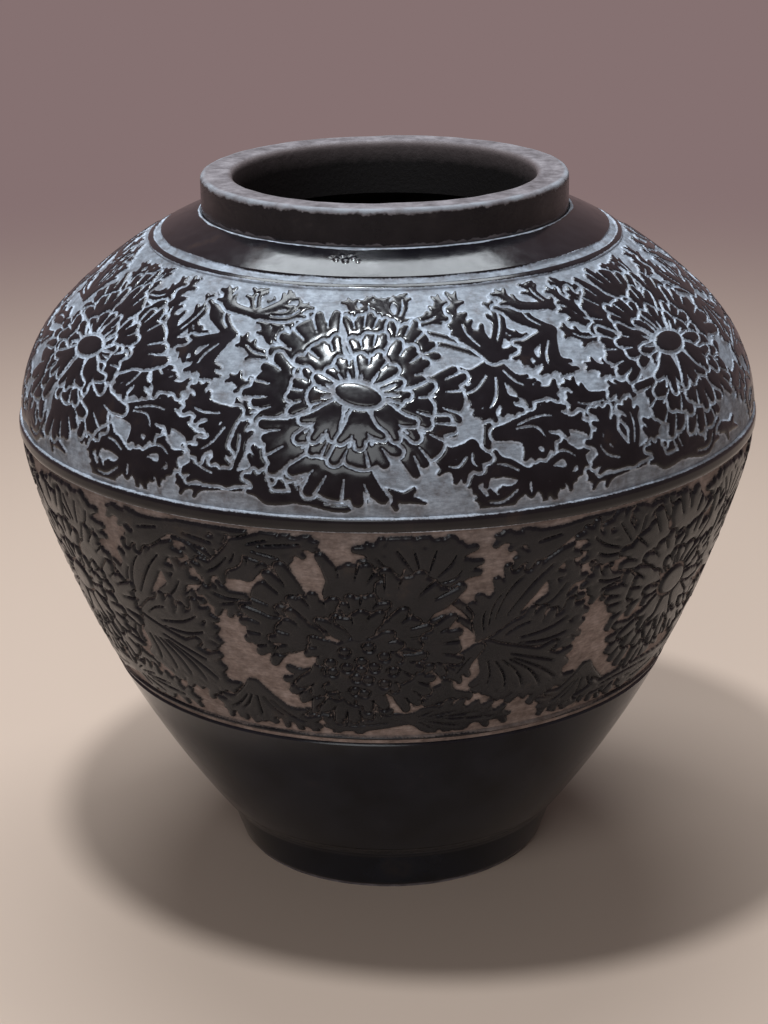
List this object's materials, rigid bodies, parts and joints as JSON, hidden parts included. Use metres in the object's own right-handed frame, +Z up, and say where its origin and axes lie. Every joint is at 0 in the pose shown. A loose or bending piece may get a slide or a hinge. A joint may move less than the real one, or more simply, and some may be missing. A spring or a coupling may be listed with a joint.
{
  "type": "storage jar",
  "caption": "Wide-shouldered stoneware storage jar with a short collar neck, a flat rim and two carved flower scrolls, open at the mouth.",
  "frame": {"origin": "centre of the foot's resting face", "axes": "+Z up along the jar's axis, out of the mouth; -Y towards the viewer of the picture"},
  "size_m": [0.3676, 0.3676, 0.3508],
  "materials": {
    "clay": "bare carved stoneware, pale grey above the girdle and warmer grey-brown below it",
    "rim_clay": "bare matt stoneware, purple-grey and worn paler along the edge",
    "dark_glaze": "glossy dark brown-black glaze",
    "dull_glaze": "worn, duller dark brown glaze",
    "inner_glaze": "thin dark brown glaze, half matt"
  },
  "bodies": {
    "root": {"foot_ring": "clay", "base_floor": "clay", "lower_body": "clay", "shoulder_body": "clay", "neck_collar": "rim_clay", "neck_glaze": "dark_glaze", "shoulder_glaze": "dark_glaze", "fillet_ring": "dark_glaze", "upper_scroll": "dark_glaze", "girdle_ring": "dark_glaze", "lower_scroll": "dull_glaze", "low_fillet_ring": "dull_glaze", "lower_glaze": "dark_glaze", "inside_glaze": "inner_glaze"}
  },
  "joints": []
}
